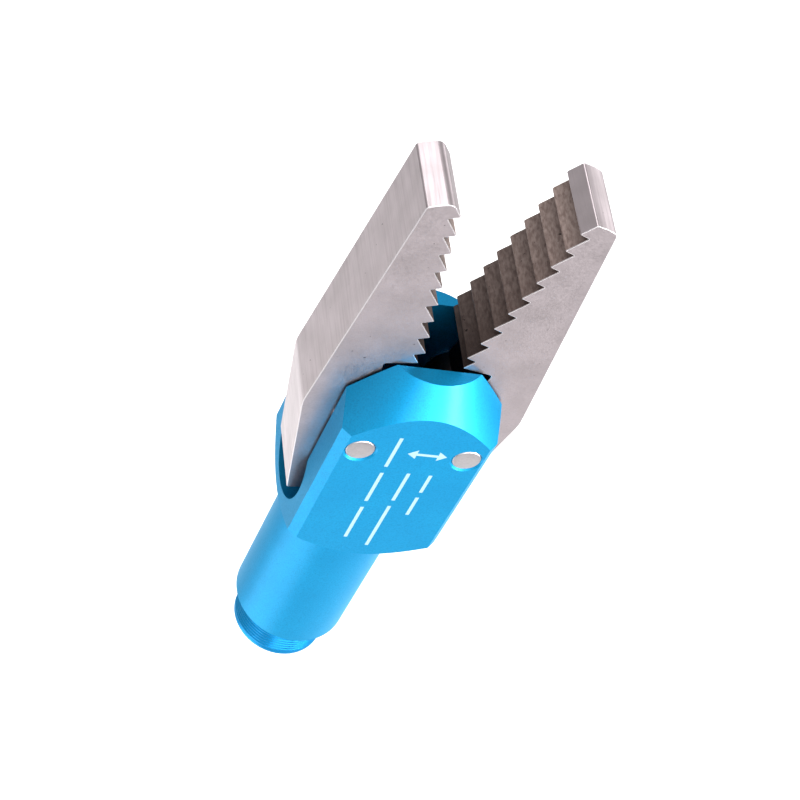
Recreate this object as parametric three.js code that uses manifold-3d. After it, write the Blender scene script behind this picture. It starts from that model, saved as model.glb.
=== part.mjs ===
// Pneumatic gripper with two toothed jaws: a single-acting cylinder inside a round shank pushes a cam
// plate between the jaw tails and closes the jaws; a coil spring pulls the plate back and opens them.
//
// Millimetres. Z is the gripper's axis and points to the jaw tips, the jaws swing in the XZ plane, and
// the origin is the centre of the end cap's rear face. The rest position is with the jaws open.

import * as THREE from "three";
import { mergeVertices } from "three/addons/utils/BufferGeometryUtils.js";
import Module from "manifold-3d";

const wasm = await Module();
wasm.setup();

// ---- driving dimensions

const SHANK = { radius: 10, bottom: 8.5, edge: 0.3 };
const HEAD = {
  radius: 16.75, // as turned, left standing as a narrow strip at each corner
  halfWidth: 12.5, // from the axis to each of the four milled flats
  lowerConeStart: 39.9,
  lowerConeEnd: 45.2,
  upperConeStart: 73.5,
  top: 83.75,
  topFaceRadius: 9.2,
};
const SLOT = { halfWidth: 6.3, holeRadius: 8.3, holeZ: 52.1 };
const CYLINDER = { radius: 8, top: 37.5, threadRadius: 8.26, threadTop: 14.8 };
const CAP = { radius: 8.2, top: 14.5, edge: 0.5, grooveRadius: 6.9, grooveBottom: 12.2, grooveTop: 13.7 };
const PORT = { radius: 2.1, chamfer: 0.6 };
const SPANNER_HOLE = { radius: 1.1, depth: 3, x: 5.7 };

const PIVOT = { x: 8.6, z: 70, pinRadius: 2.3, pinHalfLength: 12.4, pinEdge: 0.3 };
const JAW = { halfThickness: 5.9, bossRadius: 3.9, backX: 17.2, backTop: 73.6, backBlend: 1, bottom: 50.6 };
const TOOTH = { count: 9, firstZ: 115.4, pitch: 3.76, tipX: 0.2, rootX: 2.0, rootDrop: 0.32 };
const NOSE = { ridge: [1.55, 117.95], crown: [3.46, 117.88], corner: [5.28, 117.35], crownBlend: 0.9 };
// The jaws are finished by hand and differ: each nose is rounded more at one of its two edges.
const HAND_FINISH = {
  left: { ridgeBlend: 0.8, cornerBlend: 0.25, farTipRadius: 0 },
  right: { ridgeBlend: 0.2, cornerBlend: 0.6, farTipRadius: 0.4 },
};
const RELIEF = { x: 6.2, top: 82.97, cornerRadius: 0.5 };
const FOOT = { x: 6.6, z: 53.5, radius: 3.2, pinRadius: 1.5, pinHalfLength: 5.8 };
const TAIL_GROOVE = { halfWidth: 2.3, depthX: 13.2, top: 64.5 };
const JAW_BUSH = { outer: 3.05, halfLength: 5.8 };
const SHIM = { inner: 2.35, outer: 3.7, near: 5.95, far: 6.25 };

const STROKE = 5; // cam plate travel from open to closed
const OPEN_ANGLE = THREE.MathUtils.degToRad(10.7); // swing of each jaw over the stroke

const CAM_PLATE = { halfThickness: 2, wall: 1.8, cornerRadius: 1, tangHalfWidth: 3.2, tangBottom: 38.8 };
const ROD = { radius: 4, top: 44.6, slotHalfWidth: 2.05, slotBottom: 38.5, pinZ: 41.3, pinRadius: 1 };
const SPIGOT = { radius: 3, bottom: 19.5, threadRadius: 1.53, threadTop: 29 };
const PISTON = { radius: 7.9, bottom: 16.2, top: 25.2, recessRadius: 5.5, recessTop: 19.3 };
const SEAL_GROOVE = { radius: 6.4, bottom: 21, top: 23.4 };
const GUIDE_GROOVE = { radius: 7, bottom: 17.6, top: 19.6 };
const WASHER = { inner: 1.6, outer: 4.8, bottom: 18.3, top: 19.2 };
const SCREW = { radius: 1.5, headRadius: 2.75, headBottom: 15.6, top: 28 };
const SOCKET = { radius: 1.45, depth: 1.4 };
const BUMPER = { inner: 3.4, outer: 6.8, bottom: 14.6, top: 16 };
const BUSH = { radius: 5.5, bottom: 37.6, top: 42 };
const WIPER = { bottom: 42.15, top: 43.4 };
const SPRING_SEAT = { inner: 4.6, outer: 7.6, bottom: 36.4, top: 37.4 };
const SPRING = { bottom: 25.3, meanRadius: 6.6, wireRadius: 0.55, turns: 4.5, stepsPerTurn: 16 };

const RUNNING_GAP = 0.05; // radial clearance of moving fits
const PRESS_GAP = 0.02; // radial gap drawn at press fits, which touch in reality

const FINE = 72; // facets round the outside
const INNER = 36; // facets round the pieces inside the cylinder
const COARSE = 24; // facets round a pin

// ---- solids

// A THREE geometry with shared vertices merged, slivers dropped and its faces pointing out.
function asManifold(geometry) {
  const bare = geometry.clone();
  bare.deleteAttribute("normal");
  bare.deleteAttribute("uv");
  const merged = mergeVertices(bare, 1e-4);
  const corners = merged.index.array;
  const kept = [];
  for (let i = 0; i < corners.length; i += 3) {
    const [a, b, c] = [corners[i], corners[i + 1], corners[i + 2]];
    if (a !== b && b !== c && c !== a) kept.push(a, b, c);
  }
  const vertProperties = new Float32Array(merged.attributes.position.array);
  if (signedVolume(vertProperties, kept) < 0) kept.reverse();
  return new wasm.Manifold(new wasm.Mesh({ numProp: 3, vertProperties, triVerts: new Uint32Array(kept) }));
}

function signedVolume(positions, corners) {
  const point = (i) => new THREE.Vector3().fromArray(positions, 3 * i);
  let volume = 0;
  for (let i = 0; i < corners.length; i += 3) {
    volume += point(corners[i]).cross(point(corners[i + 1])).dot(point(corners[i + 2]));
  }
  return volume / 6;
}

function asGeometry(manifold) {
  const mesh = manifold.getMesh();
  const geometry = new THREE.BufferGeometry();
  geometry.setAttribute("position", new THREE.BufferAttribute(new Float32Array(mesh.vertProperties), 3));
  geometry.setIndex(new THREE.BufferAttribute(new Uint32Array(mesh.triVerts), 1));
  geometry.computeVertexNormals();
  return geometry;
}

// The first solid with all the others cut out of it.
function cut(base, ...tools) {
  return tools.reduce((solid, tool) => solid.subtract(tool), base);
}

// A solid of revolution about Z from [radius, z] points.
function turned(profile, facets = INNER) {
  const points = profile.map(([radius, z]) => new THREE.Vector2(radius, z));
  return asManifold(new THREE.LatheGeometry(points, facets).rotateX(Math.PI / 2));
}

// A round bar about Z with a chamfer at both ends.
function bar(radius, bottom, top, facets = INNER, edge = 0) {
  return turned([[0, bottom], [radius - edge, bottom], [radius, bottom + edge],
    [radius, top - edge], [radius - edge, top], [0, top]], facets);
}

// A tube or washer about Z.
function ring(inner, outer, bottom, top, facets = INNER) {
  return turned([[inner, bottom], [outer, bottom], [outer, top], [inner, top], [inner, bottom]], facets);
}

function alongY(solid, x, z) {
  return solid.rotate([-90, 0, 0]).translate([x, 0, z]);
}

function block(halfX, halfY, bottom, top) {
  const geometry = new THREE.BoxGeometry(2 * halfX, 2 * halfY, top - bottom);
  return asManifold(geometry.translate(0, 0, (bottom + top) / 2));
}

// An outline drawn in the XZ plane, thickened by halfDepth both ways along Y.
function plate(shape, halfDepth) {
  const geometry = new THREE.ExtrudeGeometry(shape, { depth: 2 * halfDepth, bevelEnabled: false });
  return asManifold(geometry.translate(0, 0, -halfDepth).rotateX(Math.PI / 2));
}

// ---- body and end cap

function body() {
  const outside = turned([
    [0, SHANK.bottom],
    [SHANK.radius - SHANK.edge, SHANK.bottom],
    [SHANK.radius, SHANK.bottom + SHANK.edge],
    [SHANK.radius, HEAD.lowerConeStart],
    [HEAD.radius, HEAD.lowerConeEnd],
    [HEAD.radius, HEAD.upperConeStart],
    [HEAD.topFaceRadius, HEAD.top],
    [0, HEAD.top],
  ], FINE);
  const flats = block(HEAD.halfWidth, HEAD.halfWidth, 0, HEAD.top + 1);
  const slot = block(HEAD.radius + 1, SLOT.halfWidth, SLOT.holeZ, HEAD.top + 1);
  const crossHole = bar(SLOT.holeRadius, -HEAD.radius - 1, HEAD.radius + 1, FINE).rotate([0, 90, 0])
    .translate([0, 0, SLOT.holeZ]);
  const cylinder = bar(CYLINDER.radius, 0, CYLINDER.top);
  const thread = turned([
    [0, 0],
    [CYLINDER.threadRadius + SHANK.edge, 0],
    [CYLINDER.threadRadius + SHANK.edge, SHANK.bottom],
    [CYLINDER.threadRadius, SHANK.bottom + SHANK.edge],
    [CYLINDER.threadRadius, CYLINDER.threadTop],
    [0, CYLINDER.threadTop],
  ]);
  const bushBore = bar(BUSH.radius + PRESS_GAP, CYLINDER.top - 1, SLOT.holeZ);
  const pivotBores = [-PIVOT.x, PIVOT.x].map((x) => {
    return alongY(bar(PIVOT.pinRadius + PRESS_GAP, -HEAD.radius, HEAD.radius, COARSE), x, PIVOT.z);
  });
  return cut(outside.intersect(flats), slot, crossHole, cylinder, thread, bushBore, ...pivotBores);
}

function endCap() {
  const plug = turned([
    [0, 0],
    [CAP.radius - CAP.edge, 0],
    [CAP.radius, CAP.edge],
    [CAP.radius, CAP.grooveBottom],
    [CAP.grooveRadius, CAP.grooveBottom],
    [CAP.grooveRadius, CAP.grooveTop],
    [CAP.radius, CAP.grooveTop],
    [CAP.radius, CAP.top],
    [0, CAP.top],
  ], FINE);
  const port = turned([
    [0, -1],
    [PORT.radius + PORT.chamfer, -1],
    [PORT.radius + PORT.chamfer, 0],
    [PORT.radius, PORT.chamfer],
    [PORT.radius, CAP.top + 1],
    [0, CAP.top + 1],
  ], COARSE);
  const spannerHoles = [-SPANNER_HOLE.x, SPANNER_HOLE.x].map((x) => {
    return bar(SPANNER_HOLE.radius, -1, SPANNER_HOLE.depth, COARSE).translate([x, 0, 0]);
  });
  return cut(plug, port, ...spannerHoles);
}

// An O-ring that fills the cap's groove to just under the bore.
function endCapORing() {
  const centreRadius = (CAP.grooveRadius + CAP.radius) / 2;
  const centreZ = (CAP.grooveBottom + CAP.grooveTop) / 2;
  const sectionRadius = (CAP.radius - CAP.grooveRadius) / 2 - PRESS_GAP;
  const section = [];
  const sides = 10;
  for (let i = 0; i <= sides; i += 1) {
    const turn = (2 * Math.PI * i) / sides;
    section.push([centreRadius + sectionRadius * Math.cos(turn), centreZ + sectionRadius * Math.sin(turn)]);
  }
  return turned(section);
}

// ---- jaws, drawn closed, for the side where X is positive

// The toothed edge from the nose down: a short flank on the body's side of each tip, a long one above it.
function addTeeth(outline) {
  for (let i = 0; i < TOOTH.count; i += 1) {
    const z = TOOTH.firstZ - i * TOOTH.pitch;
    outline.lineTo(TOOTH.tipX, z);
    outline.lineTo(TOOTH.rootX, z - TOOTH.rootDrop);
  }
  const lastRootZ = TOOTH.firstZ - (TOOTH.count - 1) * TOOTH.pitch - TOOTH.rootDrop;
  const flankSlope = (TOOTH.rootX - TOOTH.tipX) / (TOOTH.pitch - TOOTH.rootDrop);
  outline.lineTo(TOOTH.rootX - (lastRootZ - RELIEF.top) * flankSlope, RELIEF.top);
}

// The direction square to the straight line that touches the pivot boss and the foot on their inner side.
function innerTangentNormal() {
  const alongTail = new THREE.Vector2(FOOT.x - PIVOT.x, FOOT.z - PIVOT.z);
  const tilt = Math.acos((JAW.bossRadius - FOOT.radius) / alongTail.length());
  return alongTail.angle() - tilt;
}

// Draws to a corner and round it. The blend starts and ends that far from the corner.
function blendCorner(outline, before, corner, after, blend) {
  const from = new THREE.Vector2(...corner);
  const start = new THREE.Vector2(...before).sub(from).setLength(blend).add(from);
  const end = new THREE.Vector2(...after).sub(from).setLength(blend).add(from);
  outline.lineTo(start.x, start.y);
  outline.quadraticCurveTo(...corner, end.x, end.y);
}

function jawOutline(finish) {
  const tangent = innerTangentNormal();
  const reliefBottomTurn = Math.acos((RELIEF.x - PIVOT.x) / JAW.bossRadius);
  const backLow = [JAW.backX, JAW.bottom];
  const backHigh = [JAW.backX, JAW.backTop];
  const firstTip = [TOOTH.tipX, TOOTH.firstZ];
  const outline = new THREE.Shape();
  outline.moveTo(...backLow);
  blendCorner(outline, backLow, backHigh, NOSE.corner, JAW.backBlend);
  blendCorner(outline, backHigh, NOSE.corner, NOSE.crown, finish.cornerBlend);
  blendCorner(outline, NOSE.corner, NOSE.crown, NOSE.ridge, NOSE.crownBlend);
  blendCorner(outline, NOSE.crown, NOSE.ridge, firstTip, finish.ridgeBlend);
  addTeeth(outline);
  outline.absarc(RELIEF.x - RELIEF.cornerRadius, RELIEF.top - RELIEF.cornerRadius, RELIEF.cornerRadius,
    Math.PI / 2, 0, true);
  outline.absarc(PIVOT.x, PIVOT.z, JAW.bossRadius, reliefBottomTurn, tangent, false);
  outline.absarc(FOOT.x, FOOT.z, FOOT.radius, tangent, 1.5 * Math.PI, false);
  outline.closePath();
  return outline;
}

// A tall bar that a jaw fits into, with its edge rounded where the far ends of the tooth tips lie.
function tipRounder(radius) {
  const [x, y] = [TOOTH.tipX, JAW.halfThickness];
  const section = new THREE.Shape();
  section.moveTo(x + radius, y);
  section.absarc(x + radius, y - radius, radius, Math.PI / 2, Math.PI, false);
  section.lineTo(x, -y - 1);
  section.lineTo(2 * JAW.backX, -y - 1);
  section.lineTo(2 * JAW.backX, y);
  section.closePath();
  const options = { depth: 2 * NOSE.ridge[1], bevelEnabled: false, curveSegments: 5 };
  return asManifold(new THREE.ExtrudeGeometry(section, options));
}

function jaw(finish) {
  let blank = plate(jawOutline(finish), JAW.halfThickness);
  if (finish.farTipRadius > 0) blank = blank.intersect(tipRounder(finish.farTipRadius));
  const throughBore = (radius, x, z) => {
    return alongY(bar(radius + PRESS_GAP, -HEAD.radius, HEAD.radius, COARSE), x, z);
  };
  const bushBore = throughBore(JAW_BUSH.outer, PIVOT.x, PIVOT.z);
  const pinBore = throughBore(FOOT.pinRadius, FOOT.x, FOOT.z);
  const groove = block(TAIL_GROOVE.depthX, TAIL_GROOVE.halfWidth, 0, TAIL_GROOVE.top);
  return cut(blank, bushBore, pinBore, groove);
}

function jawBush() {
  const half = JAW_BUSH.halfLength;
  const sleeve = ring(PIVOT.pinRadius + RUNNING_GAP, JAW_BUSH.outer, -half, half, COARSE);
  return alongY(sleeve, PIVOT.x, PIVOT.z);
}

function tailPin() {
  return alongY(bar(FOOT.pinRadius, -FOOT.pinHalfLength, FOOT.pinHalfLength, COARSE, 0.2), FOOT.x, FOOT.z);
}

// ---- cam plate: its two slots are the paths that the tail pins take past it

// Where a tail pin stands, relative to the plate at rest, once the plate has risen by travel.
function tailPinOnPlate(travel) {
  const angle = OPEN_ANGLE * (1 - travel / STROKE);
  const armX = FOOT.x - PIVOT.x;
  const armZ = FOOT.z - PIVOT.z;
  const x = PIVOT.x + armX * Math.cos(angle) + armZ * Math.sin(angle);
  const z = PIVOT.z - armX * Math.sin(angle) + armZ * Math.cos(angle);
  return new THREE.Vector2(x, z - travel);
}

// A slot of even width round that path, with rounded ends. side is 1 for the slot where X is positive.
function camSlot(side) {
  const halfWidth = FOOT.pinRadius + RUNNING_GAP;
  const steps = 12;
  const endSteps = 8;
  const rim = [];
  for (let i = 0; i <= steps; i += 1) {
    rim.push([(STROKE * i) / steps, 0]);
  }
  for (let i = 1; i < endSteps; i += 1) rim.push([STROKE, i / endSteps]);
  for (let i = steps; i >= 0; i -= 1) {
    rim.push([(STROKE * i) / steps, 1]);
  }
  for (let i = 1; i < endSteps; i += 1) rim.push([0, 1 + i / endSteps]);
  const points = rim.map(([travel, halfTurns]) => {
    const centre = tailPinOnPlate(travel);
    const heading = tailPinOnPlate(travel + 0.01).sub(tailPinOnPlate(travel - 0.01)).angle();
    const turn = heading + Math.PI / 2 - Math.PI * halfTurns;
    const x = centre.x + halfWidth * Math.cos(turn);
    return new THREE.Vector2(side * x, centre.y + halfWidth * Math.sin(turn));
  });
  return new THREE.Path(points);
}

function camPlate() {
  const open = tailPinOnPlate(0);
  const closed = tailPinOnPlate(STROKE);
  const margin = FOOT.pinRadius + RUNNING_GAP + CAM_PLATE.wall;
  const corner = CAM_PLATE.cornerRadius;
  const top = { halfWidth: open.x + margin, z: open.y + margin };
  const bottom = { halfWidth: closed.x + margin, z: closed.y - margin };
  const shape = new THREE.Shape();
  shape.moveTo(CAM_PLATE.tangHalfWidth, CAM_PLATE.tangBottom);
  shape.lineTo(CAM_PLATE.tangHalfWidth, bottom.z);
  shape.lineTo(bottom.halfWidth - corner, bottom.z);
  shape.quadraticCurveTo(bottom.halfWidth, bottom.z, bottom.halfWidth, bottom.z + corner);
  shape.lineTo(top.halfWidth, top.z - corner);
  shape.lineTo(top.halfWidth - corner, top.z);
  shape.lineTo(-top.halfWidth + corner, top.z);
  shape.lineTo(-top.halfWidth, top.z - corner);
  shape.lineTo(-bottom.halfWidth, bottom.z + corner);
  shape.quadraticCurveTo(-bottom.halfWidth, bottom.z, -bottom.halfWidth + corner, bottom.z);
  shape.lineTo(-CAM_PLATE.tangHalfWidth, bottom.z);
  shape.lineTo(-CAM_PLATE.tangHalfWidth, CAM_PLATE.tangBottom);
  shape.holes.push(camSlot(1), camSlot(-1));
  const pinBore = alongY(bar(ROD.pinRadius + PRESS_GAP, -5, 5, COARSE), 0, ROD.pinZ);
  return cut(plate(shape, CAM_PLATE.halfThickness), pinBore);
}

// ---- piston and rod

function pistonRod() {
  const outside = turned([
    [0, SPIGOT.bottom],
    [SPIGOT.radius, SPIGOT.bottom],
    [SPIGOT.radius, PISTON.top + RUNNING_GAP],
    [ROD.radius, PISTON.top + RUNNING_GAP],
    [ROD.radius, ROD.top],
    [0, ROD.top],
  ]);
  const fork = block(2 * ROD.radius, ROD.slotHalfWidth, ROD.slotBottom, ROD.top + 1);
  const pinBore = alongY(bar(ROD.pinRadius + PRESS_GAP, -5, 5, COARSE), 0, ROD.pinZ);
  const thread = bar(SPIGOT.threadRadius, 0, SPIGOT.threadTop, COARSE);
  return cut(outside, fork, pinBore, thread);
}

function camPlatePin() {
  return alongY(bar(ROD.pinRadius, -0.9 * ROD.radius, 0.9 * ROD.radius, COARSE), 0, ROD.pinZ);
}

function piston() {
  return turned([
    [SPIGOT.radius + PRESS_GAP, PISTON.top],
    [SPIGOT.radius + PRESS_GAP, PISTON.recessTop],
    [PISTON.recessRadius, PISTON.recessTop],
    [PISTON.recessRadius, PISTON.bottom],
    [PISTON.radius, PISTON.bottom],
    [PISTON.radius, GUIDE_GROOVE.bottom],
    [GUIDE_GROOVE.radius, GUIDE_GROOVE.bottom],
    [GUIDE_GROOVE.radius, GUIDE_GROOVE.top],
    [PISTON.radius, GUIDE_GROOVE.top],
    [PISTON.radius, SEAL_GROOVE.bottom],
    [SEAL_GROOVE.radius, SEAL_GROOVE.bottom],
    [SEAL_GROOVE.radius, SEAL_GROOVE.top],
    [PISTON.radius, SEAL_GROOVE.top],
    [PISTON.radius, PISTON.top],
    [SPIGOT.radius + PRESS_GAP, PISTON.top],
  ]);
}

// A lip seal: flat against the groove, with a lip spread towards the pressure side.
function pistonSeal() {
  const inner = SEAL_GROOVE.radius + PRESS_GAP;
  const lip = CYLINDER.radius - RUNNING_GAP;
  const bottom = SEAL_GROOVE.bottom + RUNNING_GAP;
  const top = SEAL_GROOVE.top - RUNNING_GAP;
  return turned([
    [inner, bottom],
    [inner + 0.5, bottom],
    [inner + 0.75, bottom + 0.9],
    [lip - 0.35, bottom],
    [lip, bottom + 0.3],
    [lip, top - 0.5],
    [lip - 0.2, top],
    [inner, top],
    [inner, bottom],
  ]);
}

function pistonScrew() {
  const outside = turned([
    [0, SCREW.headBottom],
    [SCREW.headRadius, SCREW.headBottom],
    [SCREW.headRadius, WASHER.bottom - RUNNING_GAP],
    [SCREW.radius, WASHER.bottom - RUNNING_GAP],
    [SCREW.radius, SCREW.top],
    [0, SCREW.top],
  ], COARSE);
  const socket = bar(SOCKET.radius, SCREW.headBottom - 1, SCREW.headBottom + SOCKET.depth, 6);
  return cut(outside, socket);
}

// ---- return spring, wound as a real coil between the piston and its seat

class Coil extends THREE.Curve {
  constructor(bottom, top) {
    super();
    this.bottom = bottom;
    this.rise = top - bottom;
  }

  getPoint(t, target = new THREE.Vector3()) {
    const turn = 2 * Math.PI * SPRING.turns * t;
    const x = SPRING.meanRadius * Math.cos(turn);
    const y = SPRING.meanRadius * Math.sin(turn);
    return target.set(x, y, this.bottom + this.rise * t);
  }
}

function returnSpring() {
  const wire = new THREE.Shape().absarc(0, 0, SPRING.wireRadius, 0, 2 * Math.PI, false);
  const top = SPRING_SEAT.bottom - 0.1;
  const coil = new Coil(SPRING.bottom + SPRING.wireRadius, top - SPRING.wireRadius);
  const steps = Math.round(SPRING.turns * SPRING.stepsPerTurn);
  const options = { steps, extrudePath: coil, curveSegments: 4, bevelEnabled: false };
  return asManifold(new THREE.ExtrudeGeometry(wire, options));
}

// ---- materials

function metal(color, roughness) {
  return new THREE.MeshStandardMaterial({ color, roughness, metalness: 1 });
}

function softMaterial(color) {
  return new THREE.MeshStandardMaterial({ color, roughness: 0.8, metalness: 0 });
}

const FINISH = {
  anodised: () => metal(0x2aa9e4, 0.35),
  jawSteel: () => metal(0xb9b0b2, 0.45),
  pinSteel: () => metal(0xc8c4c8, 0.25),
  springSteel: () => metal(0x8f9296, 0.3),
  aluminium: () => metal(0xd0d2d4, 0.4),
  bronze: () => metal(0xb08446, 0.45),
  rubber: () => softMaterial(0x1a1a1c),
  plastic: () => softMaterial(0xe6e0d0),
  felt: () => softMaterial(0x6e6a60),
};

// ---- assembly

const gripper = new THREE.Group();

function add(parent, name, solid, finish) {
  const mesh = new THREE.Mesh(asGeometry(solid), FINISH[finish]());
  mesh.name = name;
  parent.add(mesh);
}

add(gripper, "body", body(), "anodised");
add(gripper, "end_cap", endCap(), "anodised");
add(gripper, "end_cap_o_ring", endCapORing(), "rubber");
add(gripper, "end_bumper", ring(BUMPER.inner, BUMPER.outer, BUMPER.bottom, BUMPER.top), "rubber");
add(gripper, "rod_bush", ring(ROD.radius + RUNNING_GAP, BUSH.radius, BUSH.bottom, BUSH.top), "bronze");
add(gripper, "rod_wiper", ring(ROD.radius + RUNNING_GAP, BUSH.radius, WIPER.bottom, WIPER.top), "felt");
const seat = ring(SPRING_SEAT.inner, SPRING_SEAT.outer, SPRING_SEAT.bottom, SPRING_SEAT.top);
add(gripper, "spring_seat", seat, "pinSteel");
add(gripper, "return_spring", returnSpring(), "springSteel");

add(gripper, "piston", piston(), "aluminium");
add(gripper, "piston_seal", pistonSeal(), "rubber");
const guideRing = ring(GUIDE_GROOVE.radius + PRESS_GAP, CYLINDER.radius - RUNNING_GAP,
  GUIDE_GROOVE.bottom + RUNNING_GAP, GUIDE_GROOVE.top - RUNNING_GAP);
add(gripper, "piston_guide_ring", guideRing, "plastic");
add(gripper, "piston_washer", ring(WASHER.inner, WASHER.outer, WASHER.bottom, WASHER.top), "pinSteel");
add(gripper, "piston_screw", pistonScrew(), "springSteel");
add(gripper, "piston_rod", pistonRod(), "pinSteel");
add(gripper, "cam_plate", camPlate(), "pinSteel");
add(gripper, "cam_plate_pin", camPlatePin(), "pinSteel");

// Both sides alike. Each jaw is drawn closed at its pivot, so it is turned open about that pivot.
for (const [label, side] of [["left", -1], ["right", 1]]) {
  const mirror = (solid) => (side < 0 ? solid.mirror([1, 0, 0]) : solid);
  const pivotX = side * PIVOT.x;

  const pin = bar(PIVOT.pinRadius, -PIVOT.pinHalfLength, PIVOT.pinHalfLength, COARSE, PIVOT.pinEdge);
  add(gripper, `pivot_pin_${label}`, alongY(pin, pivotX, PIVOT.z), "pinSteel");
  for (const [face, near, far] of [["front", -SHIM.far, -SHIM.near], ["rear", SHIM.near, SHIM.far]]) {
    const shim = alongY(ring(SHIM.inner, SHIM.outer, near, far, COARSE), pivotX, PIVOT.z);
    add(gripper, `jaw_shim_${label}_${face}`, shim, "pinSteel");
  }

  const hinge = new THREE.Group();
  hinge.position.set(pivotX, 0, PIVOT.z);
  hinge.rotation.y = side * OPEN_ANGLE;
  const closedJaw = new THREE.Group();
  closedJaw.position.set(-pivotX, 0, -PIVOT.z);
  hinge.add(closedJaw);
  gripper.add(hinge);
  add(closedJaw, `jaw_${label}`, mirror(jaw(HAND_FINISH[label])), "jawSteel");
  add(closedJaw, `jaw_bush_${label}`, mirror(jawBush()), "bronze");
  add(closedJaw, `tail_pin_${label}`, mirror(tailPin()), "pinSteel");
}

export default gripper;
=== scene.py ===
import math

import bmesh
import bpy
from mathutils import Matrix, Quaternion, Vector


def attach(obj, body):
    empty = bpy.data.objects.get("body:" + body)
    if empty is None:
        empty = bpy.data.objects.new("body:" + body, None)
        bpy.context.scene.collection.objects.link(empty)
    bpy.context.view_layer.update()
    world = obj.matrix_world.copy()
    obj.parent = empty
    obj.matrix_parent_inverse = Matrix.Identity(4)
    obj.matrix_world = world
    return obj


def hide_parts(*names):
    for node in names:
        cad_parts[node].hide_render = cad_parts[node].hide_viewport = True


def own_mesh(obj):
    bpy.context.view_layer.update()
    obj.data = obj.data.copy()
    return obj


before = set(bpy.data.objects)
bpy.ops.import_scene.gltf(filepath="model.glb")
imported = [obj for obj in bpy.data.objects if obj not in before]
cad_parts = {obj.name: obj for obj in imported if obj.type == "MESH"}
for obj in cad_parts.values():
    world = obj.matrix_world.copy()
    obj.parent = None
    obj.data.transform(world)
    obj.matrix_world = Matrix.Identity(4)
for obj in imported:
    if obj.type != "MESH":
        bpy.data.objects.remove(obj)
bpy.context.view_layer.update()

# Pneumatic gripper: visual model. Sizes are in millimetres, as in the CAD source, and every mesh is
# scaled to metres when it is made. Z is the gripper's axis, the jaws swing in the XZ plane.
MM = 0.001

# ---- driving dimensions: the CAD model's, with the pins and bores apart by a few hundredths

SHANK_RADIUS = 10.0
SHANK_BOTTOM = 8.5
HEAD_RADIUS = 16.75
HEAD_HALF_WIDTH = 12.5
LOWER_CONE = (39.9, 45.2)      # start on the shank, end at the full head radius
UPPER_CONE_START = 73.5
HEAD_TOP = 83.75
TOP_FACE_RADIUS = 9.2
SLOT_HALF_WIDTH = 6.3
CROSS_HOLE_RADIUS = 8.3
CROSS_HOLE_Z = 52.1
CYLINDER_RADIUS = 8.0
CYLINDER_TOP = 37.5
THREAD_BORE_RADIUS = 8.26
THREAD_BORE_TOP = 14.8
BUSH_BORE_RADIUS = 5.52

CAP_RADIUS = 8.2
CAP_TOP = 14.5
CAP_GROOVE = (6.9, 12.2, 13.7)  # radius, bottom, top
CAP_THREAD = (0.9, 11.6)        # where the thread starts and ends
THREAD_PITCH = 0.75
THREAD_DEPTH = 0.2
PORT_RADIUS = 2.1
SPANNER_HOLE = (1.1, 3.0, 5.7)  # radius, depth, distance from the axis

PIVOT_X = 8.6
PIVOT_Z = 70.0
PIVOT_PIN_RADIUS = 2.3
PIVOT_PIN_HALF_LENGTH = 12.38
PIVOT_PIN_EDGE = 0.28
PIVOT_PIN_CENTRE = 0.3         # radius of the flat in the middle of the pin's end
PIVOT_BORE = [                 # radius and place along the pin: countersunk at both flats
    (2.92, -12.8),
    (2.32, -12.2),
    (2.32, 12.2),
    (2.92, 12.8),
]
OPEN_ANGLE = math.radians(10.7)

JAW_HALF_THICKNESS = 5.9
JAW_BOSS_RADIUS = 3.9
JAW_BACK_X = 17.2
JAW_BACK_TOP = 73.6
JAW_BOTTOM = 50.6
TOOTH_COUNT = 9
TOOTH_FIRST_Z = 115.4
TOOTH_PITCH = 3.76
TOOTH_TIP_X = 0.2
TOOTH_ROOT_X = 2.0
TOOTH_ROOT_DROP = 0.32
NOSE_RIDGE = (1.55, 117.95)
NOSE_CROWN = (3.46, 117.88)
NOSE_CORNER = (5.28, 117.35)
RELIEF_X = 6.2
RELIEF_TOP = 82.97
RELIEF_CORNER_RADIUS = 0.5
FOOT_X = 6.6
FOOT_Z = 53.5
FOOT_RADIUS = 3.2
TAIL_PIN_RADIUS = 1.5
TAIL_GROOVE = (2.3, 13.2, 64.5)  # half width, depth from the axis, top
JAW_BUSH_RADIUS = 3.07

SPRING_BOTTOM = 25.3
SPRING_TOP = 36.3
SPRING_MEAN_RADIUS = 6.6
SPRING_WIRE_RADIUS = 0.55
SPRING_TURNS = 4.5

ROUND_STEPS = 192
SHARP_ANGLE = math.radians(30)


# ---- mesh tools

def make_object(name, bm):
    """A new object from a bmesh in millimetres."""
    bmesh.ops.recalc_face_normals(bm, faces=bm.faces)
    bmesh.ops.scale(bm, vec=(MM, MM, MM), verts=bm.verts)
    mesh = bpy.data.meshes.new(name)
    bm.to_mesh(mesh)
    bm.free()
    made = bpy.data.objects.new(name, mesh)
    bpy.context.scene.collection.objects.link(made)
    return made


def revolve(name, profile, steps=ROUND_STEPS, closed=False, radius_at=None):
    """A solid of revolution about Z from (radius, z) points. An open profile gets flat ends.
    radius_at(radius, z, turn) can change the radius round the solid, as a thread does."""
    bm = bmesh.new()
    rings = []
    for radius, z in profile:
        ring = []
        for i in range(steps):
            turn = 2 * math.pi * i / steps
            r = radius_at(radius, z, turn) if radius_at else radius
            ring.append(bm.verts.new((r * math.cos(turn), r * math.sin(turn), z)))
        rings.append(ring)
    pairs = list(zip(rings, rings[1:]))
    if closed:
        pairs.append((rings[-1], rings[0]))
    for lower, upper in pairs:
        for i in range(steps):
            j = (i + 1) % steps
            bm.faces.new((lower[i], lower[j], upper[j], upper[i]))
    if not closed:
        bm.faces.new(rings[0])
        bm.faces.new(rings[-1])
    return make_object(name, bm)


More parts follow.
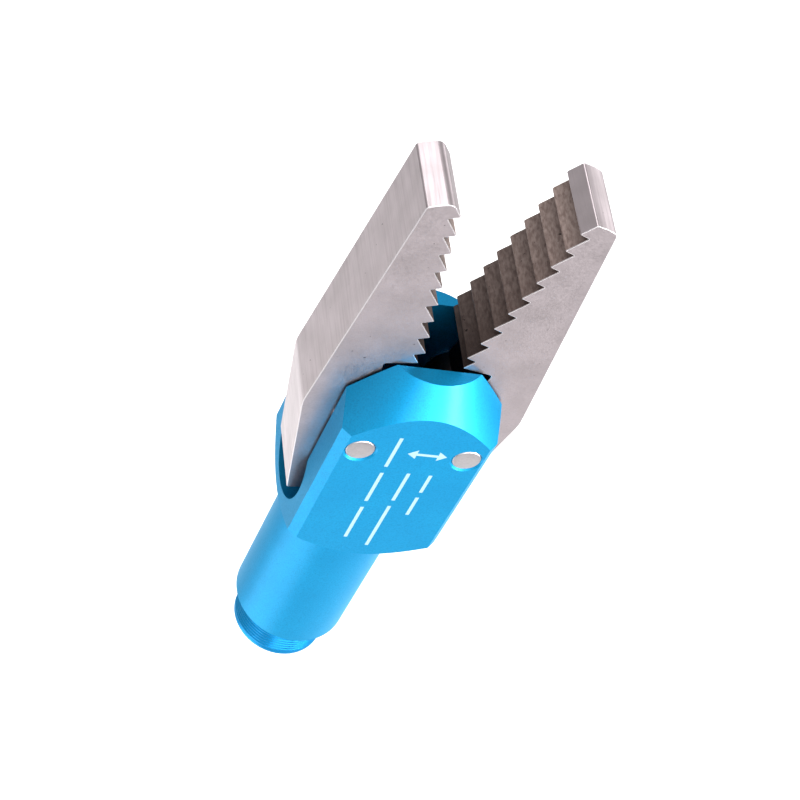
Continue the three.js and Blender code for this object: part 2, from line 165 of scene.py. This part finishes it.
def bar(name, radius, bottom, top, steps=ROUND_STEPS):
    return revolve(name, [(radius, bottom), (radius, top)], steps)


def block(name, low, high):
    bm = bmesh.new()
    bmesh.ops.create_cube(bm, size=1)
    for vert in bm.verts:
        vert.co = Vector([low[k] if vert.co[k] < 0 else high[k] for k in range(3)])
    return make_object(name, bm)


def inset(outline, distance):
    """The outline, counter-clockwise, moved inwards by the distance."""
    points = []
    for i, here in enumerate(outline):
        before = Vector(here) - Vector(outline[i - 1])
        after = Vector(outline[(i + 1) % len(outline)]) - Vector(here)
        first = Vector((-before.y, before.x)).normalized()
        second = Vector((-after.y, after.x)).normalized()
        shift = (first + second) / max(0.4, 1 + first.dot(second)) * distance
        points.append((here[0] + shift.x, here[1] + shift.y))
    return points


def rounded(corners):
    """An outline from (x, z, radius) corners, with an arc wherever the radius is over zero."""
    points = []
    for i, (x, z, radius) in enumerate(corners):
        here = Vector((x, z))
        back = Vector(corners[i - 1][:2]) - here
        ahead = Vector(corners[(i + 1) % len(corners)][:2]) - here
        if radius == 0:
            points.append((x, z))
            continue
        half = back.angle(ahead) / 2
        cut = radius / math.tan(half)
        start = back.normalized() * cut
        end = ahead.normalized() * cut
        centre = (start + end).normalized() * (radius / math.sin(half))
        steps = max(2, math.ceil((math.pi - 2 * half) / math.radians(12)))
        spread = (start - centre).angle_signed(end - centre)
        for k in range(steps + 1):
            spoke = (start - centre).copy()
            spoke.rotate(Matrix.Rotation(-spread * k / steps, 2))
            points.append(tuple(here + centre + spoke))
    return points


def extrude_outline(name, outline, half_depth, rim):
    """An outline in the XZ plane, thickened by half_depth both ways along Y, with its rims broken."""
    bm = bmesh.new()
    edge = [(rim, 0.0), (0.3 * rim, 0.3 * rim), (0.0, rim)]
    levels = [(d, -half_depth + y) for d, y in edge] + [(d, half_depth - y) for d, y in reversed(edge)]
    rings = []
    for distance, y in levels:
        rings.append([bm.verts.new((x, y, z)) for x, z in inset(outline, distance)])
    for lower, upper in zip(rings, rings[1:]):
        for i in range(len(outline)):
            j = (i + 1) % len(outline)
            bm.faces.new((lower[i], lower[j], upper[j], upper[i]))
    bm.faces.new(rings[0])
    bm.faces.new(rings[-1])
    return make_object(name, bm)


def move(piece, matrix):
    piece.data.transform(matrix)
    return piece


def along_y(piece, x, z):
    """Lays a piece made about Z along Y, through x, z."""
    turn = Matrix.Rotation(math.radians(-90), 4, "X")
    return move(piece, Matrix.Translation((x * MM, 0, z * MM)) @ turn)


def applied(piece):
    """Puts the piece's modifiers into its mesh."""
    depsgraph = bpy.context.evaluated_depsgraph_get()
    depsgraph.update()
    mesh = bpy.data.meshes.new_from_object(piece.evaluated_get(depsgraph))
    piece.modifiers.clear()
    piece.data = mesh
    return piece


def combine(piece, tools, operation="DIFFERENCE"):
    """Cuts the tools out of the piece, or keeps what they share with it, and removes them."""
    for tool in tools:
        modifier = piece.modifiers.new("cut", "BOOLEAN")
        modifier.solver = "EXACT"
        modifier.operation = operation
        modifier.object = tool
        applied(piece)
        bpy.data.objects.remove(tool)
    return piece


def bevel(piece, width, segments=2, angle=SHARP_ANGLE):
    modifier = piece.modifiers.new("edges", "BEVEL")
    modifier.width = width * MM
    modifier.segments = segments
    modifier.limit_method = "ANGLE"
    modifier.angle_limit = angle
    modifier.use_clamp_overlap = True
    return applied(piece)


def smooth(piece):
    """Smooth shading that keeps flat faces flat and edges over the sharp angle sharp."""
    piece.data.shade_smooth()
    piece.data.set_sharp_from_angle(angle=SHARP_ANGLE)
    modifier = piece.modifiers.new("normals", "WEIGHTED_NORMAL")
    modifier.keep_sharp = True
    return applied(piece)


def arc(centre, radius, start, end, steps):
    """Points on an arc in the XZ plane, angles in radians from +X towards +Z."""
    points = []
    for i in range(steps + 1):
        turn = start + (end - start) * i / steps
        points.append((centre[0] + radius * math.cos(turn), centre[1] + radius * math.sin(turn)))
    return points


# ---- materials

class Recipe:
    """A node material with one Principled shader, and short helpers for procedural inputs."""

    def __init__(self, name, metallic, roughness):
        self.material = bpy.data.materials.new(name)
        self.material.use_nodes = True
        self.nodes = self.material.node_tree.nodes
        self.links = self.material.node_tree.links
        self.shader = self.nodes["Principled BSDF"]
        self.shader.inputs["Metallic"].default_value = metallic
        self.shader.inputs["Roughness"].default_value = roughness
        self.coordinates = self.nodes.new("ShaderNodeTexCoord")
        self.height = None

    def link(self, output, socket):
        self.links.new(output, socket)

    def stretched(self, scale):
        """Object coordinates scaled per axis, so that noise runs in lines along the small axis."""
        mapping = self.nodes.new("ShaderNodeMapping")
        mapping.inputs["Scale"].default_value = scale
        self.link(self.coordinates.outputs["Object"], mapping.inputs["Vector"])
        return mapping.outputs["Vector"]

    def noise(self, scale, detail=3.0, stretch=(1, 1, 1)):
        texture = self.nodes.new("ShaderNodeTexNoise")
        texture.inputs["Scale"].default_value = scale
        texture.inputs["Detail"].default_value = detail
        self.link(self.stretched(stretch), texture.inputs["Vector"])
        return texture.outputs["Fac"]

    def remap(self, value, low, high, new_low, new_high, clamp=True):
        node = self.nodes.new("ShaderNodeMapRange")
        limits = {"From Min": low, "From Max": high, "To Min": new_low, "To Max": new_high}
        for socket, number in limits.items():
            node.inputs[socket].default_value = number
        node.clamp = clamp
        self.link(value, node.inputs["Value"])
        return node.outputs["Result"]

    def mix_colors(self, factor, first, second):
        """first and second are colours or colour outputs."""
        node = self.nodes.new("ShaderNodeMix")
        node.data_type = "RGBA"
        self.link(factor, node.inputs["Factor"])
        for socket, value in ((node.inputs[6], first), (node.inputs[7], second)):
            if isinstance(value, tuple):
                socket.default_value = (*value, 1)
            else:
                self.link(value, socket)
        return node.outputs[2]

    def closed_jaw_place(self, along_x, along_z, start):
        """Where a point of either open jaw lies in the closed jaw's own frame, in millimetres."""
        mirrored = self.nodes.new("ShaderNodeVectorMath")
        mirrored.operation = "ABSOLUTE"
        self.link(self.coordinates.outputs["Object"], mirrored.inputs[0])
        across = self.nodes.new("ShaderNodeVectorMath")
        across.operation = "DOT_PRODUCT"
        across.inputs[1].default_value = (along_x / MM, 0, along_z / MM)
        self.link(mirrored.outputs["Vector"], across.inputs[0])
        offset = along_x * PIVOT_X + along_z * PIVOT_Z
        return self.remap(across.outputs["Value"], offset, offset + 1, start, start + 1, clamp=False)

    def jaw_depth(self):
        return self.closed_jaw_place(math.cos(OPEN_ANGLE), -math.sin(OPEN_ANGLE), PIVOT_X)

    def jaw_height(self):
        return self.closed_jaw_place(math.sin(OPEN_ANGLE), math.cos(OPEN_ANGLE), PIVOT_Z)

    def color(self, value):
        self.link(value, self.shader.inputs["Base Color"])

    def roughness(self, value):
        self.link(value, self.shader.inputs["Roughness"])

    def bump(self, height, strength, distance):
        """Adds a bump layer over the ones before it. distance is in millimetres."""
        node = self.nodes.new("ShaderNodeBump")
        node.inputs["Strength"].default_value = strength
        node.inputs["Distance"].default_value = distance * MM
        self.link(height, node.inputs["Height"])
        if self.height is not None:
            self.link(self.height, node.inputs["Normal"])
        self.height = node.outputs["Normal"]
        self.link(self.height, self.shader.inputs["Normal"])


def anodised(name, light, deep, roughness):
    """Dyed anodised aluminium, bead-blasted: fine grain, faint clouds of colour, a clear sealed skin."""
    recipe = Recipe(name, 0.85, roughness)
    clouds = recipe.noise(90, 2)
    tone = recipe.mix_colors(recipe.remap(clouds, 0.35, 0.65, 0, 1), light, deep)
    grain = recipe.noise(4200, 3)
    shade = tuple(0.86 * part for part in deep)
    recipe.color(recipe.mix_colors(recipe.remap(grain, 0.45, 0.75, 0, 1), tone, shade))
    recipe.roughness(recipe.remap(grain, 0.3, 0.7, roughness - 0.04, roughness + 0.05))
    recipe.bump(grain, 0.35, 0.04)
    recipe.shader.inputs["Specular Tint"].default_value = (0.4, 0.85, 1.0, 1)
    recipe.shader.inputs["Coat Weight"].default_value = 0.24
    recipe.shader.inputs["Coat Roughness"].default_value = 0.3
    return recipe.material


def ground_steel(name, light, deep, roughness, lines):
    """Ground tool steel: fine lines along one axis, clouds of tone, a few dark pits."""
    recipe = Recipe(name, 1.0, roughness)
    clouds = recipe.noise(220, 5)
    streaks = recipe.noise(3000, 3, lines)
    tone = recipe.mix_colors(recipe.remap(clouds, 0.35, 0.68, 0, 1), light, deep)
    darker = tuple(0.8 * part for part in deep)
    tone = recipe.mix_colors(recipe.remap(streaks, 0.45, 0.75, 0, 0.35), tone, darker)
    pits = recipe.noise(1300, 1)
    pit_color = tuple(0.35 * part for part in deep)
    pit_mask = recipe.remap(pits, 0.79, 0.84, 0, 1)
    recipe.color(recipe.mix_colors(pit_mask, tone, pit_color))
    recipe.roughness(recipe.remap(streaks, 0.3, 0.7, roughness - 0.06, roughness + 0.08))
    recipe.bump(streaks, 0.15, 0.02)
    recipe.bump(recipe.noise(4200, 2), 0.15, 0.02)
    return recipe.material


def flank_steel(name):
    """Tooth flanks as left by the cutter and by hardening: brown-grey and mottled, with painted shade that
    darkens them into the roots and lower down towards the body.
    """
    recipe = Recipe(name, 1.0, 0.5)
    mottle = recipe.noise(2200, 5, (1, 0.4, 1))
    tone = recipe.mix_colors(recipe.remap(mottle, 0.36, 0.64, 0, 1), (0.60, 0.47, 0.43), (0.36, 0.27, 0.245))
    # Painted shade: the near-black colour that the flanks blend towards, deeper in the roots and lower down
    # towards the body.
    root = (0.045, 0.031, 0.028)
    tone = recipe.mix_colors(recipe.remap(recipe.jaw_depth(), 0.4, 1.9, 0, 0.8), tone, root)
    tone = recipe.mix_colors(recipe.remap(recipe.jaw_height(), 114, 84, 0, 0.75), tone, root)
    pits = recipe.noise(1500, 2)
    tone = recipe.mix_colors(recipe.remap(pits, 0.70, 0.76, 0, 1), tone, (0.04, 0.03, 0.028))
    recipe.color(tone)
    recipe.roughness(recipe.remap(mottle, 0.3, 0.7, 0.42, 0.6))
    recipe.bump(recipe.noise(2200, 4), 0.5, 0.03)
    return recipe.material


def plain_part(name, light, deep, metallic, roughness, grain):
    """Small inner pieces: two tones, varied roughness and a fine grain."""
    recipe = Recipe(name, metallic, roughness)
    clouds = recipe.noise(300, 4)
    recipe.color(recipe.mix_colors(clouds, light, deep))
    recipe.roughness(recipe.remap(clouds, 0.3, 0.7, roughness - 0.06, roughness + 0.06))
    recipe.bump(recipe.noise(grain, 3), 0.2, 0.02)
    return recipe.material


BODY_BLUE = anodised("body_blue", (0.004, 0.31, 0.60), (0.003, 0.285, 0.57), 0.52)
CAP_BLUE = anodised("cap_blue", (0.004, 0.28, 0.62), (0.003, 0.25, 0.58), 0.4)
JAW_STEEL = ground_steel("jaw_ground_steel", (0.57, 0.50, 0.52), (0.49, 0.43, 0.445), 0.37, (1, 0.03, 1))
# Painted highlight: a near-white steel for the jaw rims on the near side, where the edges catch the light.
RIM_HIGHLIGHT_STEEL = plain_part("jaw_rim_painted_highlight", (0.95, 0.9, 0.92), (0.75, 0.7, 0.72), 1.0, 0.35, 3000)
FLANK_STEEL_PAINTED_SHADE = flank_steel("jaw_flank_steel_painted_shade")
PIN_STEEL = ground_steel("pin_steel", (0.62, 0.585, 0.6), (0.52, 0.49, 0.505), 0.34, (1, 0.2, 1))
SPRING_STEEL = plain_part("spring_steel", (0.45, 0.45, 0.47), (0.3, 0.3, 0.32), 1.0, 0.3, 2500)
ALUMINIUM = plain_part("turned_aluminium", (0.8, 0.8, 0.81), (0.68, 0.69, 0.7), 1.0, 0.35, 2000)
BRONZE = plain_part("sintered_bronze", (0.62, 0.4, 0.17), (0.42, 0.26, 0.1), 1.0, 0.45, 3500)
RUBBER = plain_part("nitrile_rubber", (0.02, 0.02, 0.022), (0.01, 0.01, 0.011), 0.0, 0.6, 1500)
PLASTIC = plain_part("guide_plastic", (0.75, 0.7, 0.6), (0.62, 0.56, 0.46), 0.0, 0.5, 1500)
FELT = plain_part("wiper_felt", (0.2, 0.18, 0.15), (0.09, 0.08, 0.065), 0.0, 0.95, 1200)
MARK_WHITE = plain_part("laser_mark", (0.3, 0.46, 0.54), (0.25, 0.42, 0.51), 0.0, 0.55, 4000)


def finish_piece(piece, material, slot, body, *nodes):
    if not piece.data.materials:
        piece.data.materials.append(material)
    if nodes:
        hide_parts(*nodes)
    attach(piece, body)
    return piece


# ---- generic marks on the front flat: plain bars in three rows and an opening arrow

MARK_ROWS = (
    # x of the row, then (start, end) of each bar along the axis
    (-3.4, ((74.2, 66.6), (64.9, 57.0), (55.3, 46.5))),
    (0.8, ((65.4, 57.8), (56.2, 44.6))),
    (4.4, ((65.4, 60.6), (59.2, 54.2))),
)
MARK_HALF_WIDTH = 0.3
MARK_FACE = 12.485
MARK_FLOOR = 12.45
ARROW_CENTRE = (2.0, 70.5)
ARROW_HALF_LENGTH = 3.2
ARROW_HEAD = (1.5, 1.15)       # length, half width
ARROW_SHAFT_HALF_WIDTH = 0.3


def arrow_outline():
    """A double-headed arrow across the face, along X."""
    x, z = ARROW_CENTRE
    head_length, head_half = ARROW_HEAD
    neck = ARROW_HALF_LENGTH - head_length
    shaft = ARROW_SHAFT_HALF_WIDTH
    right = [(neck, -shaft), (neck, -head_half), (ARROW_HALF_LENGTH, 0), (neck, head_half), (neck, shaft)]
    left = [(-dx, -dz) for dx, dz in right]
    return [(x + dx, z + dz) for dx, dz in right + left]


def mark_outlines():
    """Every mark as an outline in the XZ plane."""
    outlines = [arrow_outline()]
    for x, bars in MARK_ROWS:
        low, high = x - MARK_HALF_WIDTH, x + MARK_HALF_WIDTH
        for start, end in bars:
            outlines.append([(low, end), (high, end), (high, start), (low, start)])
    return outlines


def mark_prisms(name, outer, inner):
    """All marks as flat pieces in the front face, between two distances from the axis."""
    bm = bmesh.new()
    for outline in mark_outlines():
        front = [bm.verts.new((x, -outer, z)) for x, z in outline]
        rear = [bm.verts.new((x, -inner, z)) for x, z in outline]
        bm.faces.new(front)
        bm.faces.new(rear)
        for i in range(len(outline)):
            j = (i + 1) % len(outline)
            bm.faces.new((front[i], front[j], rear[j], rear[i]))
    return make_object(name, bm)


def make_marks():
    marks = mark_prisms("head_marks", MARK_FACE, MARK_FLOOR)
    return finish_piece(marks, MARK_WHITE, "body_anodised", "root")


# ---- body

def make_body():
    body = revolve("gripper_body", [
        (SHANK_RADIUS, SHANK_BOTTOM),
        (SHANK_RADIUS, LOWER_CONE[0]),
        (HEAD_RADIUS, LOWER_CONE[1]),
        (HEAD_RADIUS, UPPER_CONE_START),
        (TOP_FACE_RADIUS, HEAD_TOP),
    ])
    half = HEAD_HALF_WIDTH
    combine(body, [block("flats", (-half, -half, 0), (half, half, HEAD_TOP + 5))], "INTERSECT")
    slot = block("slot", (-20, -SLOT_HALF_WIDTH, CROSS_HOLE_Z), (20, SLOT_HALF_WIDTH, HEAD_TOP + 5))
    cross_hole = bar("cross_hole", CROSS_HOLE_RADIUS, -20, 20)
    lay_along_x = Matrix.Rotation(math.radians(90), 4, "Y")
    move(cross_hole, Matrix.Translation((0, 0, CROSS_HOLE_Z * MM)) @ lay_along_x)
    tools = [slot, cross_hole]
    tools.append(bar("bush_bore", BUSH_BORE_RADIUS, CYLINDER_TOP - 1, CROSS_HOLE_Z, 96))
    tools.append(bar("cylinder_bore", CYLINDER_RADIUS, 0, CYLINDER_TOP, 96))
    tools.append(bar("thread_bore", THREAD_BORE_RADIUS, 0, THREAD_BORE_TOP, 96))
    for side in (-1, 1):
        bore = revolve("pivot_bore", PIVOT_BORE, 96)
        tools.append(along_y(bore, side * PIVOT_X, PIVOT_Z))
    combine(body, tools)
    bevel(body, 0.13, 2)
    combine(body, [mark_prisms("mark_pockets", HEAD_HALF_WIDTH + 0.1, MARK_FLOOR)])
    smooth(body)
    return finish_piece(body, BODY_BLUE, "body_anodised", "root", "body")


# ---- end cap

def cap_radius(radius, z, turn):
    """The cap's outer radius with its helical thread, which fades out at both ends."""
    start, end = CAP_THREAD
    if not start < z < end:
        return radius
    fade = min(1.0, (z - start) / THREAD_PITCH, (end - z) / THREAD_PITCH)
    phase = (z / THREAD_PITCH - turn / (2 * math.pi)) % 1.0
    return radius - THREAD_DEPTH * fade * abs(2 * phase - 1)


def make_end_cap():
    groove_radius, groove_bottom, groove_top = CAP_GROOVE
    start, end = CAP_THREAD
    samples = round((end - start) / THREAD_PITCH * 8)
    threaded = [(CAP_RADIUS, start + (end - start) * i / samples) for i in range(samples + 1)]
    cap = revolve("threaded_end_cap", [
        (CAP_RADIUS - 0.5, 0.0),
        (CAP_RADIUS, 0.5),
        *threaded,
        (CAP_RADIUS, groove_bottom),
        (groove_radius, groove_bottom),
        (groove_radius, groove_top),
        (CAP_RADIUS, groove_top),
        (CAP_RADIUS, CAP_TOP),
    ], 144, radius_at=cap_radius)
    radius, depth, offset = SPANNER_HOLE
    tools = [bar("port", PORT_RADIUS, -1, CAP_TOP + 1, 64)]
    tools.append(revolve("port_chamfer", [(PORT_RADIUS + 1.6, -1), (PORT_RADIUS - 0.4, 1)], 64))
    for side in (-1, 1):
        hole = bar("spanner_hole", radius, -1, depth, 48)
        tools.append(move(hole, Matrix.Translation((side * offset * MM, 0, 0))))
    combine(cap, tools)
    smooth(cap)
    return finish_piece(cap, CAP_BLUE, "cap_anodised", "root", "end_cap")


# ---- jaws, drawn closed for the side where x is positive, then turned open

TIP_ROUND = 0.17
ROOT_ROUND = 0.12
RIM = 0.14
BACK_ROUND = 7.5
BOTTOM_ROUND = 0.3
CROWN_ROUND = 8.0
# How far each jaw's nose is worn round: the ridge next to the teeth and the outer corner.
NOSE_ROUND = {"left": (1.28, 0.45), "right": (0.32, 1.05)}
FAR_TIP_ROUND = 0.4
FAR_SIDE_Y = 4.0               # beyond this the teeth's rims and ends look like the flanks


def tooth_line():
    """The toothed edge from the nose down to where the relief cuts the last tooth short."""
    corners = []
    for i in range(TOOTH_COUNT):
        z = TOOTH_FIRST_Z - i * TOOTH_PITCH
        corners.append((TOOTH_TIP_X, z, TIP_ROUND))
        corners.append((TOOTH_ROOT_X, z - TOOTH_ROOT_DROP, ROOT_ROUND))
    slope = (TOOTH_ROOT_X - TOOTH_TIP_X) / (TOOTH_PITCH - TOOTH_ROOT_DROP)
    last_x, last_z, _ = corners[-1]
    corners.append((last_x - (last_z - RELIEF_TOP) * slope, RELIEF_TOP, TIP_ROUND))
    return corners


def inner_tangent():
    """The direction square to the line that touches the pivot boss and the foot on their inner side."""
    along = Vector((FOOT_X - PIVOT_X, FOOT_Z - PIVOT_Z))
    tilt = math.acos((JAW_BOSS_RADIUS - FOOT_RADIUS) / along.length)
    return math.atan2(along.y, along.x) % (2 * math.pi) - tilt


def jaw_outline(label):
    ridge_round, corner_round = NOSE_ROUND[label]
    tangent = inner_tangent()
    corner = RELIEF_CORNER_RADIUS
    boss_start = math.acos((RELIEF_X - PIVOT_X) / JAW_BOSS_RADIUS)
    corners = [(*NOSE_CORNER, corner_round), (*NOSE_CROWN, CROWN_ROUND), (*NOSE_RIDGE, ridge_round)]
    corners += tooth_line()
    smooth_part = arc((RELIEF_X - corner, RELIEF_TOP - corner), corner, math.pi / 2, 0, 5)
    smooth_part += arc((PIVOT_X, PIVOT_Z), JAW_BOSS_RADIUS, boss_start, tangent, 18)
    smooth_part += arc((FOOT_X, FOOT_Z), FOOT_RADIUS, tangent, 1.5 * math.pi, 16)
    corners += [(x, z, 0) for x, z in smooth_part]
    corners += [(JAW_BACK_X, JAW_BOTTOM, BOTTOM_ROUND), (JAW_BACK_X, JAW_BACK_TOP, BACK_ROUND)]
    return rounded(corners)


def tip_rounder():
    """A tall block that holds the jaw, with the edge along the far ends of the tooth tips rounded."""
    radius = FAR_TIP_ROUND
    corners = [(TOOTH_TIP_X, JAW_HALF_THICKNESS, radius), (TOOTH_TIP_X, -10, 0), (30, -10, 0)]
    corners += [(30, JAW_HALF_THICKNESS, 0)]
    bm = bmesh.new()
    rings = []
    for z in (40, 130):
        rings.append([bm.verts.new((x, y, z)) for x, y in rounded(corners)])
    for i in range(len(rings[0])):
        j = (i + 1) % len(rings[0])
        bm.faces.new((rings[0][i], rings[0][j], rings[1][j], rings[1][i]))
    bm.faces.new(rings[0])
    bm.faces.new(rings[1])
    return make_object("tip_rounder", bm)


def paint_jaw(jaw):
    """The cut inner side as the cutter left it, with painted shade in the roots and below the teeth, a
    painted highlight on the rims of the near side, and ground steel elsewhere.
    Tilt is 0 on a face cut along Y and 1 on the jaw's flat sides."""
    for material in (JAW_STEEL, FLANK_STEEL_PAINTED_SHADE, RIM_HIGHLIGHT_STEEL):
        jaw.data.materials.append(material)
    for face in jaw.data.polygons:
        x, y, z = face.center / MM
        tilt = abs(face.normal.y)
        # Painted highlight: only the rims on the near side take the near-white rim steel.
        on_rim = 0.2 < tilt < 0.95 and y < -JAW_HALF_THICKNESS + 2 * RIM
        between_tips = 0 <= x <= TOOTH_ROOT_X + 0.1 and RELIEF_TOP + 0.1 < z < TOOTH_FIRST_Z - 0.1
        below_teeth = x <= RELIEF_X + 0.05 and z < RELIEF_TOP + 0.1
        cut_along_y = tilt <= 0.3
        if on_rim:
            face.material_index = 2
        # Below the teeth, the inner faces (boss and foot among them) take the flank steel. Its painted shade
        # makes them near black, standing in for the shade in the slot.
        elif cut_along_y and (between_tips or below_teeth):
            face.material_index = 1
        elif between_tips and y > FAR_SIDE_Y:
            face.material_index = 1


def make_jaw(label, side):
    jaw = extrude_outline(f"toothed_jaw_{label}", jaw_outline(label), JAW_HALF_THICKNESS, RIM)
    half_width, depth, top = TAIL_GROOVE
    if label == "right":
        combine(jaw, [tip_rounder()], "INTERSECT")
    tools = [along_y(bar("bush_bore", JAW_BUSH_RADIUS, -20, 20, 64), PIVOT_X, PIVOT_Z)]
    tools.append(along_y(bar("pin_bore", TAIL_PIN_RADIUS + 0.02, -20, 20, 48), FOOT_X, FOOT_Z))
    tools.append(block("groove", (-20, -half_width, 0), (depth, half_width, top)))
    combine(jaw, tools)
    paint_jaw(jaw)
    if side < 0:
        move(jaw, Matrix.Scale(-1, 4, (1, 0, 0)))
        jaw.data.flip_normals()
    pivot = Matrix.Translation((side * PIVOT_X * MM, 0, PIVOT_Z * MM))
    move(jaw, pivot @ Matrix.Rotation(side * OPEN_ANGLE, 4, "Y") @ pivot.inverted())
    smooth(jaw)
    return finish_piece(jaw, JAW_STEEL, "jaw_steel", f"{label}_jaw_group", f"jaw_{label}")


# ---- pins and spring

def make_pivot_pin(label, side):
    half = PIVOT_PIN_HALF_LENGTH
    radius = PIVOT_PIN_RADIUS
    edge = PIVOT_PIN_EDGE
    rim = arc((radius - edge, half - edge), edge, math.pi / 2, 0, 6)
    profile = [(PIVOT_PIN_CENTRE, -half)] + [(x, -z) for x, z in rim]
    profile += [(r, -z) for r, z in reversed(profile)]
    pin = along_y(revolve(f"pivot_pin_piece_{label}", profile, 96), side * PIVOT_X, PIVOT_Z)
    smooth(pin)
    return finish_piece(pin, PIN_STEEL, "pin_steel", "root", f"pivot_pin_{label}")


def make_spring():
    """The return spring as one wire, wound between the piston and its seat."""
    bm = bmesh.new()
    steps = round(SPRING_TURNS * 48)
    sides = 16
    bottom = SPRING_BOTTOM + SPRING_WIRE_RADIUS
    rise = SPRING_TOP - SPRING_BOTTOM - 2 * SPRING_WIRE_RADIUS
    sections = []
    for i in range(steps + 1):
        turn = 2 * math.pi * SPRING_TURNS * i / steps
        section = []
        for k in range(sides):
            around = 2 * math.pi * k / sides
            radius = SPRING_MEAN_RADIUS + SPRING_WIRE_RADIUS * math.cos(around)
            z = bottom + rise * i / steps + SPRING_WIRE_RADIUS * math.sin(around)
            section.append(bm.verts.new((radius * math.cos(turn), radius * math.sin(turn), z)))
        sections.append(section)
    for lower, upper in zip(sections, sections[1:]):
        for k in range(sides):
            n = (k + 1) % sides
            bm.faces.new((lower[k], lower[n], upper[n], upper[k]))
    bm.faces.new(sections[0])
    bm.faces.new(sections[-1])
    spring = make_object("return_spring_coil", bm)
    smooth(spring)
    finish_piece(spring, SPRING_STEEL, "spring_steel", "root", "return_spring")
    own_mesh(spring)
    return spring


# ---- the CAD pieces that keep their shape

KEPT = {
    PIN_STEEL: ("spring_seat", "piston_washer", "piston_rod", "cam_plate_pin",
                "tail_pin_left", "tail_pin_right",
                "jaw_shim_left_front", "jaw_shim_left_rear",
                "jaw_shim_right_front", "jaw_shim_right_rear"),
    JAW_STEEL: ("cam_plate",),
    SPRING_STEEL: ("piston_screw",),
    ALUMINIUM: ("piston",),
    BRONZE: ("rod_bush", "jaw_bush_left", "jaw_bush_right"),
    RUBBER: ("end_cap_o_ring", "end_bumper", "piston_seal"),
    PLASTIC: ("piston_guide_ring",),
    FELT: ("rod_wiper",),
}


def dress_kept_nodes():
    for material, names in KEPT.items():
        for name in names:
            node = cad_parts[name]
            for slot in node.material_slots:
                slot.material = material


# ---- studio

CAMERA_PLACE = (-102.95, -179.5, 299.5)
CAMERA_TARGET = (0.2, 0.0, 67.3)
CAMERA_ROLL = math.radians(29.5)
CAMERA_LENS = 89.8
SUBJECT = Vector((0, 0, 67)) * MM
FLOOR_Z = -420
FLOOR_HALF_WIDTH = 6000
FLOOR_THICKNESS = 20
WORLD_STRENGTH = 0.52
SOFTBOXES = (
    # name, azimuth and elevation in degrees, distance and size in metres, watts
    ("front_right", -64, 13, 0.6, (0.95, 0.5), 4.4),
    ("front_spot", -46, 13, 0.59, (0.16, 0.2), 1.6),
    ("right", -13, 16, 0.7, (0.5, 0.5), 0.8),
    ("top_back", 116, 55, 0.8, (0.5, 0.5), 1.2),
    ("back_right", 36, 14, 0.7, (0.34, 0.3), 0.3),
    ("left", 215, 20, 0.7, (0.5, 0.5), 0.3),
    ("low_left", 205, -48, 0.4, (0.28, 0.32), 0.34),
)
BACKDROP = ("backdrop", 55, -9, 0.54, (0.96, 0.86), 5.9, 180)  # turned down to light the floor behind


def direction(azimuth, elevation):
    """A unit vector, azimuth in degrees from +X towards +Y."""
    a, e = math.radians(azimuth), math.radians(elevation)
    return Vector((math.cos(a) * math.cos(e), math.sin(a) * math.cos(e), math.sin(e)))


def make_camera():
    camera = bpy.data.objects.new("camera", bpy.data.cameras.new("camera"))
    bpy.context.scene.collection.objects.link(camera)
    place = Vector(CAMERA_PLACE) * MM
    look = Vector(CAMERA_TARGET) * MM - place
    camera.location = place
    camera.rotation_mode = "QUATERNION"
    camera.rotation_quaternion = look.to_track_quat("-Z", "Y") @ Quaternion((0, 0, 1), CAMERA_ROLL)
    camera.data.lens = CAMERA_LENS
    camera.data.sensor_width = 36
    camera.data.clip_start = 0.01
    bpy.context.scene.camera = camera


def softbox(name, azimuth, elevation, distance, size, power, spread=140):
    light = bpy.data.lights.new(name, "AREA")
    light.shape = "RECTANGLE"
    light.size, light.size_y = size
    light.energy = power
    light.spread = math.radians(spread)
    made = bpy.data.objects.new(name, light)
    bpy.context.scene.collection.objects.link(made)
    towards = direction(azimuth, elevation)
    made.location = SUBJECT + towards * distance
    made.rotation_mode = "QUATERNION"
    made.rotation_quaternion = (-towards).to_track_quat("-Z", "Y")
    made.visible_camera = False
    return made


def make_studio():
    half = FLOOR_HALF_WIDTH
    floor = block("floor", (-half, -half, FLOOR_Z - FLOOR_THICKNESS), (half, half, FLOOR_Z))
    paint = Recipe("floor_white", 0.0, 0.9)
    paint.color(paint.mix_colors(paint.noise(3, 2), (0.79, 0.79, 0.79), (0.77, 0.77, 0.77)))
    floor.data.materials.append(paint.material)
    world = bpy.data.worlds.new("studio")
    bpy.context.scene.world = world
    world.use_nodes = True
    background = world.node_tree.nodes["Background"]
    background.inputs["Color"].default_value = (1, 1, 1, 1)
    background.inputs["Strength"].default_value = WORLD_STRENGTH
    for lamp in SOFTBOXES:
        softbox(*lamp)
    backdrop = softbox(*BACKDROP)
    backdrop.rotation_quaternion = (1, 0, 0, 0)
    bpy.context.scene.view_settings.view_transform = "Standard"
    bpy.context.scene.view_settings.look = "None"


make_camera()
make_studio()
make_body()
make_end_cap()
for jaw_label, jaw_side in (("left", -1), ("right", 1)):
    make_jaw(jaw_label, jaw_side)
    make_pivot_pin(jaw_label, jaw_side)
make_spring()
make_marks()
dress_kept_nodes()
